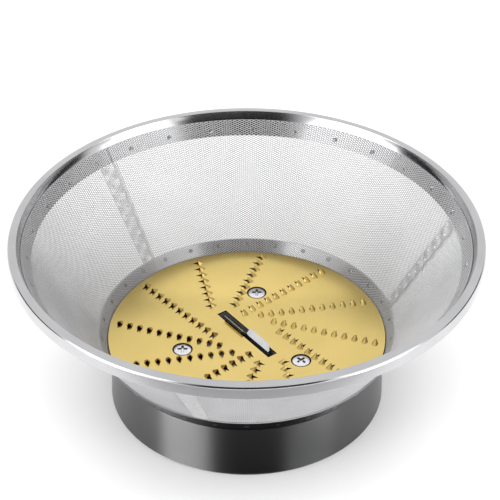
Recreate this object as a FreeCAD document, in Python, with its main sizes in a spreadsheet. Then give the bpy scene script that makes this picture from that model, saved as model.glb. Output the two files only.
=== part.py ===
import FreeCAD, Part
import math
import os
import re

import Sketcher
from FreeCAD import Placement, Rotation, Vector

# Filter basket of a centrifugal juicer, in millimetres.
# The origin is at the centre of the base's foot, with Z up along the spin axis.

# Driving dimensions: name, value, what it measures
SIZES = [
    ("overall_height", 80.4, "foot of the base to the top of the rim"),
    ("rim_radius", 98.0, "outside of the rim"),
    ("rim_flange", 3.06, "rim's outside to the line of the mesh face, at the top"),
    ("rim_mouth", 3.9, "rim's outside to the edge of the mouth"),
    ("rim_wall", 6.1, "top of the rim to the foot of its outer wall"),
    ("rim_lap", 9.7, "top of the rim to the foot of its inner skirt"),
    ("rim_sheet", 0.6, "sheet of the rim"),
    ("rim_fall", 0.55, "how much lower the flange is at its outer edge"),
    ("rim_inner_bend", 0.4, "bevel along the bend at the mouth, across and up"),
    ("rim_outer_bend", 0.9, "bevel along the outer bend"),
    ("mesh_sheet", 0.4, "sheet of the mesh panels"),
    ("mesh_drop", 3.8, "top of the rim to the top edge of the mesh"),
    ("panel_count", 3, "mesh panels round the cone"),
    ("seam_azimuth", 11.5, "direction of the first seam, in degrees"),
    ("seam_lap", 4.5, "lap of two panels, in degrees"),
    ("seam_root", 1.0, "stretch that carries the lap, in degrees"),
    ("seam_gap", 0.2, "gap between neighbouring panels, in degrees"),
    ("slit_count", 30, "gaps in one panel"),
    ("slit_width", 2.0, "width of one gap"),
    ("slit_margin", 1.5, "gap's end to the rim's skirt and to the collar"),
    ("lap_clearance", 0.3, "lap's ends to the rim's skirt and to the collar"),
    ("collar_top", 32.4, "foot of the base to the collar's upper edge"),
    ("collar_sheet", 0.5, "sheet of the collar"),
    ("collar_bend", 0.6, "bevel along the collar's bend"),
    ("flange_depth", 3.2, "mesh face to the flange's inner edge, at the seat"),
    ("disc_level", 28.2, "foot of the base to the disc's upper face"),
    ("disc_reach", 0.5, "outside of the base's foot to the disc's edge"),
    ("disc_gap", 0.7, "disc's edge to the mesh"),
    ("disc_sheet", 0.8, "sheet of the grating disc"),
    ("slot_length", 36.6, "blade slot in the disc"),
    ("slot_width", 4.6, "blade slot in the disc"),
    ("slot_azimuth", -53.6, "direction of the slot, in degrees"),
    ("row_count", 12, "rows of teeth"),
    ("row_azimuth", -18.8, "direction of the first row, in degrees"),
    ("row_offset", 11.3, "spin axis to the line of a row"),
    ("row_start", 8.4, "first tooth from the row's nearest point to the axis"),
    ("row_margin", 3.5, "last tooth to the disc's edge, at least"),
    ("tooth_pitch", 4.5, "step along a row"),
    ("tooth_width", 2.7, "tooth at its foot"),
    ("tooth_height", 2.0, "tooth above the disc"),
    ("tooth_heel", 2.4, "tooth from its mouth to its heel"),
    ("tooth_lean", 0.4, "how far the point leans over the hole"),
    ("tooth_wall", 0.4, "sheet left at the sides of a tooth"),
    ("tooth_crown", 1.7, "sheet left at its point and heel, as a share of that at its sides"),
    ("tooth_cut", 2.8, "pointed hole in front of the mouth"),
    ("tooth_clearance", 3.8, "heel of a tooth to the slot, at least"),
    ("screw_count", 3, "screws"),
    ("screw_azimuth", 81.5, "direction of the first screw, in degrees"),
    ("screw_circle", 29.0, "spin axis to a screw"),
    ("screw_radius", 2.0, "shank"),
    ("screw_length", 12.0, "shank below the head"),
    ("head_radius", 3.6, "screw head"),
    ("head_height", 1.5, "screw head"),
    ("head_bevel", 0.7, "bevel of the screw head"),
    ("screw_clearance", 0.05, "shank to the pilot hole"),
    ("shank_clearance", 0.2, "shank to the hole in the disc"),
    ("tip_clearance", 1.0, "shank's end to the end of the pilot hole"),
    ("well_gap", 0.7, "screw head to the wall of its well"),
    ("well_depth", 1.2, "disc's upper face to the floor of the well"),
    ("well_clearance", 0.15, "well to its recess in the base"),
    ("blade_length", 31.0, "blade along the slot"),
    ("blade_sheet", 0.8, "sheet of the blade"),
    ("blade_wing", 2.6, "width of a wing"),
    ("blade_tilt", 38.0, "wing from the disc's face, in degrees"),
    ("blade_clip", 3.0, "length of the clipped corner of a wing"),
    ("tang_depth", 4.0, "tang below the floor of the blade pocket"),
    ("tang_clearance", 0.05, "tang to its slit"),
    ("pocket_depth", 6.0, "blade pocket below the disc's seat"),
    ("pocket_wall", 2.5, "plastic round the blade pocket"),
    ("base_radius", 58.2, "foot of the base, outside"),
    ("base_draft", 0.7, "how much narrower the base is at its top"),
    ("base_wall", 2.5, "skirt of the base"),
    ("base_bevel", 0.6, "bevel of the foot's outer edge"),
    ("base_shoulder", 24.0, "foot to the upper edge of the skirt"),
    ("seat_step", 1.0, "skirt's upper edge to the collar's seat"),
    ("groove_depth", 0.9, "shadow groove under the collar"),
    ("edge_gap", 1.1, "disc's seat to the mesh, at the collar's flange"),
    ("plate_thickness", 4.5, "plate under the disc"),
    ("hub_radius", 14.0, "hub of the drive socket"),
    ("hub_foot", 3.0, "foot of the base to the hub"),
    ("socket_radius", 9.0, "drive socket"),
    ("socket_depth", 11.0, "drive socket"),
    ("key_count", 3, "keyways in the socket"),
    ("key_width", 3.4, "keyway"),
    ("key_depth", 2.0, "keyway"),
    ("boss_wall", 3.0, "plastic round a pilot hole"),
    ("boss_floor", 2.0, "plastic below a pilot hole"),
    ("rib_thickness", 2.4, "rib from the hub to the skirt"),
    ("rib_depth", 12.0, "rib below the plate"),
]

# Every alias has an underscore, so no function's name is taken for one.
ALIAS = re.compile(r"[a-z]+(?:_[a-z]+)+")

# Heights and radii that several pieces share, as expressions of the sheet
DISC_RADIUS = "(base_radius + disc_reach)"
SLOPE = f"((rim_radius - rim_flange - {DISC_RADIUS} - disc_gap) / (overall_height - disc_level))"
STRETCH = f"sqrt(1 + {SLOPE} ^ 2)"
RIM_FOOT = "(overall_height - rim_lap)"
SEAT = "(base_shoulder + seat_step)"
FLANGE_TOP = f"({SEAT} + collar_sheet)"
PLATE_TOP = "(disc_level - disc_sheet)"
PLATE_UNDER = f"({PLATE_TOP} - plate_thickness)"
MESH_TOP = "(overall_height - mesh_drop)"
WELL_RADIUS = "(head_radius + well_gap)"
WELL_FLOOR = "(disc_level - well_depth)"
POCKET_FLOOR = f"({PLATE_TOP} - pocket_depth)"
TANG_FOOT = f"({POCKET_FLOOR} - tang_depth)"
SCREW_TIP = f"({WELL_FLOOR} - screw_length)"
BORE_END = f"({SCREW_TIP} - tip_clearance)"
SOCKET_TOP = "(hub_foot + socket_depth)"
SKIRT_TOP = "(base_radius - base_draft)"


def cone(height, offset="0"):
    """Radius of the mesh's inner face at a height, moved out by a thickness of sheet."""
    rise = f"({height} - disc_level) * {SLOPE}"
    return f"({DISC_RADIUS} + disc_gap + {rise} + ({offset}) * {STRETCH})"


FLANGE_INNER = f"({cone(SEAT)} - flange_depth)"
PLATFORM = f"({cone(FLANGE_TOP)} - edge_gap)"

doc = FreeCAD.newDocument("filter_basket")
sheet = doc.addObject("Spreadsheet::Sheet", "sizes")
for row, (alias, value, meaning) in enumerate(SIZES, start=1):
    sheet.set(f"A{row}", meaning)
    sheet.set(f"B{row}", str(value))
    sheet.setAlias(f"B{row}", alias)
doc.recompute()


def bound(text):
    """The expression with each alias pointing to its cell."""
    return ALIAS.sub(lambda match: "sizes." + match.group(0), text)


def value_of(text):
    """The expression's present value."""
    return float(sheet.evalExpression(bound(text)))


def origin_feature(body, role):
    """A plane or an axis of the body's own origin."""
    return next(item for item in body.Origin.OriginFeatures if item.Role == role)


def new_body(label):
    """An empty body whose label names its file."""
    body = doc.addObject("PartDesign::Body", label)
    body.Label = label
    return body


def new_sketch(body, name, role, lift=None):
    """A sketch on one of the body's origin planes, lifted along the plane's normal."""
    sketch = body.newObject("Sketcher::SketchObject", name)
    sketch.AttachmentSupport = (origin_feature(body, role), [""])
    sketch.MapMode = "FlatFace"
    if lift:
        sketch.setExpression("AttachmentOffset.Base.z", bound(lift))
    return sketch


def pin_point(sketch, geometry, position, across, up):
    """Ties a point of the sketch to two expressions."""
    for kind, text in (("DistanceX", across), ("DistanceY", up)):
        constraint = Sketcher.Constraint(kind, -1, 1, geometry, position, value_of(text))
        index = sketch.addConstraint(constraint)
        sketch.setExpression(f"Constraints[{index}]", bound(text))


def draw_outline(sketch, corners):
    """A closed outline of straight lines with a bound point at each corner."""
    points = [Vector(value_of(across), value_of(up), 0) for across, up in corners]
    ends = points[1:] + points[:1]
    lines = [sketch.addGeometry(Part.LineSegment(*pair), False) for pair in zip(points, ends)]
    for line, after in zip(lines, lines[1:] + lines[:1]):
        sketch.addConstraint(Sketcher.Constraint("Coincident", line, 2, after, 1))
    for line, (across, up) in zip(lines, corners):
        pin_point(sketch, line, 1, across, up)


def draw_box(sketch, left, right, width):
    """A rectangle from left to right, centred across."""
    low, high = f"-({width}) / 2", f"({width}) / 2"
    draw_outline(sketch, [(left, low), (right, low), (right, high), (left, high)])


def draw_circle(sketch, across, up, radius):
    """A circle with a bound centre and radius."""
    middle = Vector(value_of(across), value_of(up), 0)
    ring = Part.Circle(middle, Vector(0, 0, 1), value_of(radius))
    circle = sketch.addGeometry(ring, False)
    pin_point(sketch, circle, 3, across, up)
    index = sketch.addConstraint(Sketcher.Constraint("Radius", circle, value_of(radius)))
    sketch.setExpression(f"Constraints[{index}]", bound(radius))


def revolve(body, sketch, angle="360"):
    """Turns a profile about the sketch's upright axis."""
    turned = body.newObject("PartDesign::Revolution", sketch.Name + "_turned")
    turned.Profile = sketch
    turned.ReferenceAxis = (sketch, ["V_Axis"])
    turned.setExpression("Angle", bound(angle))
    doc.recompute()
    return turned


def pad(body, sketch, length, down=False):
    """Adds a prism on a sketch."""
    prism = body.newObject("PartDesign::Pad", sketch.Name + "_pad")
    prism.Profile = sketch
    prism.Reversed = down
    prism.setExpression("Length", bound(length))
    doc.recompute()
    return prism


def pocket(body, sketch, length, up=False):
    """Cuts a prism below a sketch, or above it, and tests that it took material away."""
    before = body.Shape.Volume
    cut = body.newObject("PartDesign::Pocket", sketch.Name + "_cut")
    cut.Profile = sketch
    cut.Reversed = up
    cut.setExpression("Length", bound(length))
    doc.recompute()
    if body.Shape.Volume >= before:
        raise ValueError(f"{cut.Name} cut nothing")
    return cut


def pattern(body, name, originals, count, angle="360"):
    """Repeats features about the spin axis."""
    polar = body.newObject("PartDesign::PolarPattern", name)
    polar.Originals = originals
    polar.Axis = (origin_feature(body, "Z_Axis"), [""])
    polar.setExpression("Occurrences", bound(count))
    polar.setExpression("Angle", bound(angle))
    body.Tip = polar
    doc.recompute()
    return polar


def ring_edge(feature, radius, height):
    """Name of the round edge with a radius and height about the spin axis."""
    def misfit(edge):
        return abs(edge.Curve.Radius - value_of(radius)) + abs(edge.Curve.Center.z - value_of(height))

    rings = [(misfit(edge), index) for index, edge in enumerate(feature.Shape.Edges, start=1)
             if isinstance(edge.Curve, Part.Circle)]
    return f"Edge{min(rings)[1]}"


def bevel_rings(body, feature, rings, size):
    """Bevels the ring edges at the given radii and heights."""
    bevelled = body.newObject("PartDesign::Chamfer", body.Name + "_bevel")
    bevelled.Base = (feature, [ring_edge(feature, *ring) for ring in rings])
    bevelled.setExpression("Size", bound(size))
    doc.recompute()
    return bevelled


def turn_body(body, azimuth):
    """Turns a whole body about the spin axis."""
    body.Placement = Placement(Vector(0, 0, 0), Rotation(Vector(0, 0, 1), 0))
    body.setExpression("Placement.Rotation.Angle", bound(azimuth))


def make_rim():
    """Rolled rim: outer wall, falling flange, upright mouth and a skirt that lies on the mesh."""
    body = new_body("rim_ring")
    outer_top = "(overall_height - rim_fall)"
    inner_under = "(overall_height - rim_sheet - rim_fall * rim_sheet / rim_mouth)"
    outer_under = f"({outer_top} - rim_sheet + rim_fall * rim_sheet / rim_mouth)"
    wall_foot = "(overall_height - rim_wall)"
    mouth = "(overall_height - rim_inner_bend)"
    mouth_radius = "(rim_radius - rim_mouth)"
    sketch = new_sketch(body, "rim_profile", "XZ_Plane")
    draw_outline(sketch, [
        (cone(RIM_FOOT, "mesh_sheet"), RIM_FOOT),
        (cone(MESH_TOP, "mesh_sheet"), MESH_TOP),
        (mouth_radius, mouth),
        (f"{mouth_radius} + rim_inner_bend", "overall_height"),
        ("rim_radius", outer_top),
        ("rim_radius", wall_foot),
        ("rim_radius - rim_sheet", wall_foot),
        ("rim_radius - rim_sheet", outer_under),
        (f"{mouth_radius} + rim_sheet", inner_under),
        (cone(MESH_TOP, "mesh_sheet + rim_sheet"), MESH_TOP),
        (cone(RIM_FOOT, "mesh_sheet + rim_sheet"), RIM_FOOT),
    ])
    turned = revolve(body, sketch)
    bevel_rings(body, turned, [("rim_radius", outer_top)], "rim_outer_bend")
    return body


def make_collar():
    """Collar round the foot of the mesh, with a flange that reaches into the base."""
    body = new_body("base_collar")
    outer_foot = cone(SEAT, "mesh_sheet + collar_sheet")
    sketch = new_sketch(body, "collar_profile", "XZ_Plane")
    draw_outline(sketch, [
        (FLANGE_INNER, SEAT),
        (outer_foot, SEAT),
        (cone("collar_top", "mesh_sheet + collar_sheet"), "collar_top"),
        (cone("collar_top", "mesh_sheet"), "collar_top"),
        (cone(FLANGE_TOP, "mesh_sheet"), FLANGE_TOP),
        (FLANGE_INNER, FLANGE_TOP),
    ])
    turned = revolve(body, sketch)
    bevel_rings(body, turned, [(outer_foot, SEAT)], "collar_bend")
    return body


def draw_wall(sketch, foot, top, inner):
    """Section of one sheet of mesh between two heights, moved out by a thickness."""
    outer = f"{inner} + mesh_sheet"
    draw_outline(sketch, [
        (cone(foot, inner), foot),
        (cone(foot, outer), foot),
        (cone(top, outer), top),
        (cone(top, inner), top),
    ])


def make_panel(number):
    """One mesh panel: a third of the cone, its gaps, and the lap over the next panel."""
    body = new_body(f"mesh_panel_{number + 1}")
    sector = "(360 / panel_count)"
    wall = new_sketch(body, f"panel_{number}_wall", "XZ_Plane")
    draw_wall(wall, FLANGE_TOP, MESH_TOP, "0")
    revolve(body, wall, f"{sector} - seam_gap")
    lap = new_sketch(body, f"panel_{number}_lap", "XZ_Plane")
    lap.AttachmentOffset = Placement(Vector(0, 0, 0), Rotation(Vector(0, 1, 0), 0))
    lap.setExpression("AttachmentOffset.Rotation.Angle", bound(f"{sector} - seam_gap - seam_root"))
    draw_wall(lap, "(collar_top + lap_clearance)", f"({RIM_FOOT} - lap_clearance)", "mesh_sheet")
    revolve(body, lap, "seam_root + seam_gap + seam_lap")
    slit_foot = "(collar_top + slit_margin)"
    slit_top = f"({RIM_FOOT} - slit_margin)"
    step = f"(({sector} - seam_lap - seam_root - seam_gap) / (slit_count + 1))"
    slit = new_sketch(body, f"panel_{number}_slit", "XY_Plane", slit_foot)
    slit.AttachmentOffset = Placement(Vector(0, 0, 0), Rotation(Vector(0, 0, 1), 0))
    slit.setExpression("AttachmentOffset.Rotation.Angle", bound(f"seam_lap + {step}"))
    draw_box(slit, f"{cone(slit_foot)} - slit_width", "rim_radius", "slit_width")
    first = pocket(body, slit, f"{slit_top} - {slit_foot}", up=True)
    pattern(body, f"panel_{number}_slits", [first], "slit_count", f"{step} * (slit_count - 1)")
    turn_body(body, f"seam_azimuth + {number} * {sector}")
    return body


def make_disc_blank():
    """Grating disc before its teeth are punched: plate, blade slot and screw wells."""
    body = new_body("disc_blank")
    plate = new_sketch(body, "disc_edge", "XY_Plane", PLATE_TOP)
    draw_circle(plate, "0", "0", DISC_RADIUS)
    pad(body, plate, "disc_sheet")
    slot = new_sketch(body, "disc_slot", "XY_Plane", "disc_level")
    slot.setExpression("AttachmentOffset.Rotation.Angle", bound("slot_azimuth"))
    draw_box(slot, "-slot_length / 2", "slot_length / 2", "slot_width")
    pocket(body, slot, "disc_sheet")
    cup = new_sketch(body, "well_cup", "XY_Plane", PLATE_TOP)
    draw_circle(cup, "screw_circle", "0", f"{WELL_RADIUS} + disc_sheet")
    cup_pad = pad(body, cup, "well_depth", down=True)
    hollow = new_sketch(body, "well_hollow", "XY_Plane", "disc_level")
    draw_circle(hollow, "screw_circle", "0", WELL_RADIUS)
    hollow_cut = pocket(body, hollow, "well_depth")
    hole = new_sketch(body, "well_hole", "XY_Plane", WELL_FLOOR)
    draw_circle(hole, "screw_circle", "0", "screw_radius + shank_clearance")
    hole_cut = pocket(body, hole, "disc_sheet")
    for sketch in (cup, hollow, hole):
        sketch.setExpression("AttachmentOffset.Rotation.Angle", bound("screw_azimuth"))
    doc.recompute()
    pattern(body, "disc_wells", [cup_pad, hollow_cut, hole_cut], "screw_count")
    return body


def solid_of(faces):
    """Closed solid of flat faces, each given by its corner points."""
    shell = Part.Shell([Part.Face(Part.makePolygon(list(face) + [face[0]])) for face in faces])
    return Part.Solid(shell)


def thorn(mouth, half_width, heel, point, foot):
    """Four-sided thorn that points up, drawn down to the height of its foot.

    The mouth, half width and heel are those at height 0; the point is (forward, height).
    """
    forward, height = point
    growth = (height - foot) / height
    tip = Vector(forward, 0, height)
    back = Vector(forward - (forward + heel) * growth, 0, foot)
    left = Vector(forward + (mouth - forward) * growth, half_width * growth, foot)
    right = Vector(left.x, -left.y, foot)
    return solid_of([(back, left, right), (back, right, tip), (back, tip, left), (left, tip, right)])


def make_tooth():
    """One punched tooth at the origin, facing +X: what is raised and what is cut away."""
    half_width = value_of("tooth_width / 2")
    height = value_of("tooth_height")
    heel = value_of("tooth_heel")
    lean = value_of("tooth_lean")
    lip = value_of("tooth_lean * tooth_wall / tooth_height")
    raised = thorn(0, half_width, heel, (lean, height), value_of("-disc_sheet / 2"))
    hollow_point = (lean + lip, value_of("tooth_height - tooth_wall * tooth_crown"))
    hollow_half = value_of("tooth_width / 2 - tooth_wall")
    hollow_heel = value_of("tooth_heel - tooth_wall * tooth_crown")
    below = value_of("-disc_sheet - tooth_wall")
    hollow = thorn(lip, hollow_half, hollow_heel, hollow_point, below)
    corners = [
        Vector(lip, hollow_half, below),
        Vector(lip, -hollow_half, below),
        Vector(lip + value_of("tooth_cut"), 0, below),
    ]
    hole = Part.Face(Part.makePolygon(corners + corners[:1]))
    depth = value_of("disc_sheet + tooth_wall + tooth_wall / 2")
    return raised, [hollow, hole.extrude(Vector(0, 0, depth))]


def tooth_places():
    """Placement of each tooth: straight rows past the axis, clear of slot, screws and edge."""
    half_slot = Vector(value_of("slot_length / 2"), value_of("slot_width / 2"), 0)
    to_slot = Rotation(Vector(0, 0, 1), -value_of("slot_azimuth"))
    heel = Vector(value_of("tooth_heel"), 0, 0)
    edge = value_of(f"{DISC_RADIUS} - row_margin")
    screw_reach = value_of(f"{WELL_RADIUS} + tooth_width / 2")
    screws = [screw_place(number).Base for number in range(int(value_of("screw_count")))]
    rows = int(value_of("row_count"))
    places = []
    for row in range(rows):
        turn = Rotation(Vector(0, 0, 1), value_of("row_azimuth") + row * 360 / rows - 90)
        along = value_of("row_start")
        while math.hypot(along, value_of("row_offset")) <= edge:
            spot = turn.multVec(Vector(value_of("row_offset"), -along, 0))
            back = to_slot.multVec(spot - turn.multVec(heel))
            beyond = Vector(max(abs(back.x) - half_slot.x, 0), max(abs(back.y) - half_slot.y, 0), 0)
            free = beyond.Length > value_of("tooth_clearance")
            if free and all(spot.distanceToPoint(screw) > screw_reach for screw in screws):
                places.append(Placement(spot + Vector(0, 0, value_of("disc_level")), turn))
            along += value_of("tooth_pitch")
    return places


def screw_place(number):
    """Axis of one screw, at the disc's centre height 0."""
    step = 360 / value_of("screw_count")
    turn = Rotation(Vector(0, 0, 1), value_of("screw_azimuth") + number * step)
    return Placement(turn.multVec(Vector(value_of("screw_circle"), 0, 0)), turn)


def make_disc(blank):
    """Grating disc: the blank with all its teeth raised and pierced."""
    raised, cutters = make_tooth()
    places = tooth_places()
    shape = blank.Shape.fuse([raised.transformed(place.Matrix) for place in places])
    shape = shape.cut([cutter.transformed(place.Matrix) for place in places for cutter in cutters])
    disc = doc.addObject("Part::Feature", "grating_disc")
    disc.Label = "grating_disc"
    disc.Shape = shape.Solids[0] if len(shape.Solids) == 1 else shape
    return disc


def make_blade():
    """Blade: an upright tang whose two halves are bent over as opposite wings."""
    body = new_body("centre_blade")
    half = "blade_sheet / 2"
    reach = "blade_wing * cos(blade_tilt)"
    rise = "blade_wing * sin(blade_tilt)"
    thick_across = "blade_sheet * sin(blade_tilt)"
    thick_up = "blade_sheet * cos(blade_tilt)"
    fold = f"(disc_level - {half} * tan(blade_tilt))"
    section = new_sketch(body, "blade_section", "YZ_Plane")
    draw_outline(section, [
        (f"-{half}", TANG_FOOT),
        (half, TANG_FOOT),
        (half, fold),
        (f"{half} + {reach}", f"{fold} + {rise}"),
        (f"{half} + {reach} - {thick_across}", f"{fold} + {rise} + {thick_up}"),
        (f"-{half}", f"{fold} + blade_sheet / cos(blade_tilt) - blade_sheet * tan(blade_tilt)"),
    ])
    wing = pad(body, section, "blade_length / 2")
    clip = new_sketch(body, "blade_clip_corner", "XY_Plane", "disc_level + blade_wing + blade_sheet")
    corner = f"{half} + {reach} + blade_sheet"
    draw_outline(clip, [
        ("blade_length / 2 - blade_clip", corner),
        ("blade_length / 2 + blade_sheet", corner),
        ("blade_length / 2 + blade_sheet", f"{half}"),
    ])
    clipped = pocket(body, clip, f"disc_level + blade_wing + blade_sheet - {TANG_FOOT}")
    pattern(body, "blade_halves", [wing, clipped], "2")
    turn_body(body, "slot_azimuth")
    return body


def make_screws():
    """Three like screws: shank and bevelled head, seated in the wells of the disc."""
    body = new_body("disc_screws")
    head_top = f"({WELL_FLOOR} + head_height)"
    profile = new_sketch(body, "screw_profile", "XZ_Plane")
    profile.setExpression("AttachmentOffset.Base.x", bound("screw_circle"))
    draw_outline(profile, [
        ("0", SCREW_TIP),
        ("screw_radius", SCREW_TIP),
        ("screw_radius", WELL_FLOOR),
        ("head_radius", WELL_FLOOR),
        ("head_radius", head_top),
        ("0", head_top),
    ])
    turned = revolve(body, profile)
    bevelled = bevel_rings(body, turned, [("head_radius", head_top)], "head_bevel")
    pattern(body, "screw_ring", [turned, bevelled], "screw_count")
    turn_body(body, "screw_azimuth")
    return body


def make_base():
    """Moulded base: skirt, plate, hub with drive socket, ribs, bosses and blade pocket."""
    body = new_body("base_moulding")
    seat_edge = f"({SKIRT_TOP} - groove_depth)"
    profile = new_sketch(body, "base_profile", "XZ_Plane")
    draw_outline(profile, [
        ("0", PLATE_TOP),
        ("0", SOCKET_TOP),
        ("socket_radius", SOCKET_TOP),
        ("socket_radius", "hub_foot"),
        ("hub_radius", "hub_foot"),
        ("hub_radius", PLATE_UNDER),
        (f"{SKIRT_TOP} - base_wall", PLATE_UNDER),
        ("base_radius - base_wall", "0"),
        ("base_radius", "0"),
        (SKIRT_TOP, "base_shoulder"),
        (seat_edge, "base_shoulder"),
        (seat_edge, SEAT),
        (FLANGE_INNER, SEAT),
        (FLANGE_INNER, FLANGE_TOP),
        (PLATFORM, FLANGE_TOP),
        (PLATFORM, PLATE_TOP),
    ])
    turned = revolve(body, profile)
    bevel_rings(body, turned, [("base_radius", "0")], "base_bevel")
    add_blade_pocket(body)
    add_screw_bosses(body)
    add_keyways(body)
    return body


def add_blade_pocket(body):
    """Pocket under the disc's slot, with a slit that holds the blade's tang."""
    box = new_sketch(body, "pocket_box", "XY_Plane", PLATE_UNDER)
    draw_box(box, "-slot_length / 2 - pocket_wall", "slot_length / 2 + pocket_wall",
             "slot_width + 2 * pocket_wall")
    pocket_foot = f"({TANG_FOOT} - pocket_wall)"
    pad(body, box, f"{PLATE_UNDER} - {pocket_foot}", down=True)
    well = new_sketch(body, "pocket_hollow", "XY_Plane", PLATE_TOP)
    draw_box(well, "-slot_length / 2", "slot_length / 2", "slot_width")
    pocket(body, well, "pocket_depth")
    slit = new_sketch(body, "tang_slit", "XY_Plane", POCKET_FLOOR)
    draw_box(slit, "-blade_length / 2 - tang_clearance", "blade_length / 2 + tang_clearance",
             "blade_sheet + 2 * tang_clearance")
    pocket(body, slit, "tang_depth")
    for sketch in (box, well, slit):
        sketch.setExpression("AttachmentOffset.Rotation.Angle", bound("slot_azimuth"))
    doc.recompute()


def add_screw_bosses(body):
    """Ribs from the hub to the skirt, each through a boss with a pilot hole and a recess."""
    pilot = "(screw_radius + screw_clearance)"
    boss = new_sketch(body, "boss", "XY_Plane", PLATE_UNDER)
    draw_circle(boss, "screw_circle", "0", f"{pilot} + boss_wall")
    boss_pad = pad(body, boss, f"{PLATE_UNDER} - {BORE_END} + boss_floor", down=True)
    rib = new_sketch(body, "rib", "XY_Plane", PLATE_UNDER)
    draw_box(rib, "(hub_radius + socket_radius) / 2 + key_depth / 2", f"{SKIRT_TOP} - base_wall / 2",
             "rib_thickness")
    rib_pad = pad(body, rib, "rib_depth", down=True)
    recess = new_sketch(body, "well_recess", "XY_Plane", PLATE_TOP)
    draw_circle(recess, "screw_circle", "0", f"{WELL_RADIUS} + disc_sheet + well_clearance")
    recess_cut = pocket(body, recess, "well_depth")
    bore = new_sketch(body, "pilot_hole", "XY_Plane", PLATE_TOP)
    draw_circle(bore, "screw_circle", "0", pilot)
    bore_cut = pocket(body, bore, f"{PLATE_TOP} - {BORE_END}")
    for sketch in (boss, rib, recess, bore):
        sketch.setExpression("AttachmentOffset.Rotation.Angle", bound("screw_azimuth"))
    doc.recompute()
    pattern(body, "base_bosses", [boss_pad, rib_pad, recess_cut, bore_cut], "screw_count")


def add_keyways(body):
    """Keyways in the wall of the drive socket."""
    key = new_sketch(body, "keyway", "XY_Plane", "hub_foot")
    draw_box(key, "socket_radius - key_depth", "socket_radius + key_depth", "key_width")
    key_cut = pocket(body, key, "socket_depth", up=True)
    pattern(body, "keyways", [key_cut], "key_count")


def check(piece):
    """Stops if a piece is broken, so that no bad file is written."""
    for item in getattr(piece, "Group", []) + [piece]:
        if {"Invalid", "Error"} & set(item.State):
            raise ValueError(f"{item.Name} did not build: {item.State}")
    if piece.Shape.isNull() or not piece.Shape.isValid() or not piece.Shape.Solids:
        raise ValueError(f"{piece.Label} is not a valid solid")


pieces = [make_rim(), make_collar(), make_base(), make_blade(), make_screws()]
pieces += [make_panel(number) for number in range(int(value_of("panel_count")))]
pieces.append(make_disc(make_disc_blank()))
doc.recompute()

os.makedirs("parts", exist_ok=True)
for piece in pieces:
    check(piece)
    piece.Shape.exportStep(os.path.join("parts", piece.Label + ".step"))
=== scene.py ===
"""Looks of a juicer's filter basket: polished rim, mesh cone, gold grating disc and black base."""
import logging
import math
from collections.abc import Iterable
from dataclasses import dataclass
from enum import Enum, IntEnum

import bmesh
import bpy
from bmesh.types import BMEdge, BMesh, BMFace, BMVert
from bpy.types import Collection, ID, Material, Mesh, Node, NodeSocket, NodeTree, Object
from mathutils import Matrix, Vector


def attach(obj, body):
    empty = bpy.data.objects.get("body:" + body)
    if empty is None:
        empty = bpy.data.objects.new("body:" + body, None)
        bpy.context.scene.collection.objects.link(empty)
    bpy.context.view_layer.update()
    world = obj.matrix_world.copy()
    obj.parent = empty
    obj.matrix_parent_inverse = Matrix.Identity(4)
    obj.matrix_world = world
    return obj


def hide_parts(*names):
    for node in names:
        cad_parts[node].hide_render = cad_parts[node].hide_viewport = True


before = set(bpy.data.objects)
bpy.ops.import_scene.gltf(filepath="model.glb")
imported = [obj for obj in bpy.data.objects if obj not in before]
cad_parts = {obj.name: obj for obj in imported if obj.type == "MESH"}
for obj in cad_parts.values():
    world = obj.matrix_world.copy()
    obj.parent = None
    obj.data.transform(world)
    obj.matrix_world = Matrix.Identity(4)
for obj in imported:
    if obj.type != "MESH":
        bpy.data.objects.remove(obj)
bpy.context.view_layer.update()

LOG = logging.getLogger("filter_basket")
MM = 0.001
ROOT = "root"
ORIGIN = (0.0, 0.0, 0.0)
SPIN_AXIS = (0.0, 0.0, 1.0)
# Middle of the painted light on the base under the blade's slot, and where this paler painted patch fades
# out, sideways and down
PAINTED_LIGHT_MIDDLE = (0.0, 0.0, 27.0 * MM)
PAINTED_LIGHT_REACH = (24.0 * MM, 21.0 * MM)
PAINTED_LIGHT_FOOT = (22.8 * MM, 23.1 * MM)

Point = tuple[float, float]
Spot = tuple[float, float, float]
Colour = tuple[float, float, float]


class Slot(Enum):
    """Material slots of the record, listed here; the pieces do not take their finish from them."""

    POLISHED_STEEL = "polished_steel"
    MESH_STEEL = "mesh_steel"
    GOLD_COAT = "gold_coat"
    BLADE_STEEL = "blade_steel"


class Grain(Enum):
    """Direction of the fine lines that the tools leave in a surface."""

    SPUN = "spun_grain"
    ROLLED = "rolled_grain"
    CAST = "cast_grain"


class PanelPart(IntEnum):
    """Material indices of a mesh panel."""

    SHEET = 0
    WELD = 1
    PAINTED_SHADE = 2
    SEAM = 3


@dataclass(frozen=True)
class Cone:
    """The slanted wall that panels, rim and collar share.

    Attributes:
        low: Radius and height of the inner face at the disc.
        high: Radius and height of the inner face near the rim.
    """

    low: Point = (59.4 * MM, 28.2 * MM)
    high: Point = (94.26 * MM, 79.4 * MM)

    @property
    def slope(self) -> float:
        """Growth of the radius per height."""
        return (self.high[0] - self.low[0]) / (self.high[1] - self.low[1])

    @property
    def tilt(self) -> float:
        """Angle of the wall from the spin axis, in radians."""
        return math.atan(self.slope)

    def radius(self, height: float, offset: float = 0.0) -> float:
        """Radius of the wall.

        Args:
            height: Height above the foot of the base.
            offset: Distance outwards from the inner face, square to the wall.

        Returns:
            The radius at that height.
        """
        return self.low[0] + (height - self.low[1]) * self.slope + offset / math.cos(self.tilt)

    def place(self, azimuth: float, height: float, offset: float = 0.0) -> Matrix:
        """Place on the wall with its Z axis square to it.

        Args:
            azimuth: Direction round the spin axis, in degrees.
            height: Height above the foot of the base.
            offset: Distance outwards from the inner face.

        Returns:
            The matrix of that place.
        """
        turn = Matrix.Rotation(math.radians(azimuth), 4, "Z")
        shift = Matrix.Translation((self.radius(height, offset), 0.0, height))
        lean = Matrix.Rotation(self.tilt - math.pi / 2, 4, "Y")
        return turn @ shift @ lean


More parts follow.
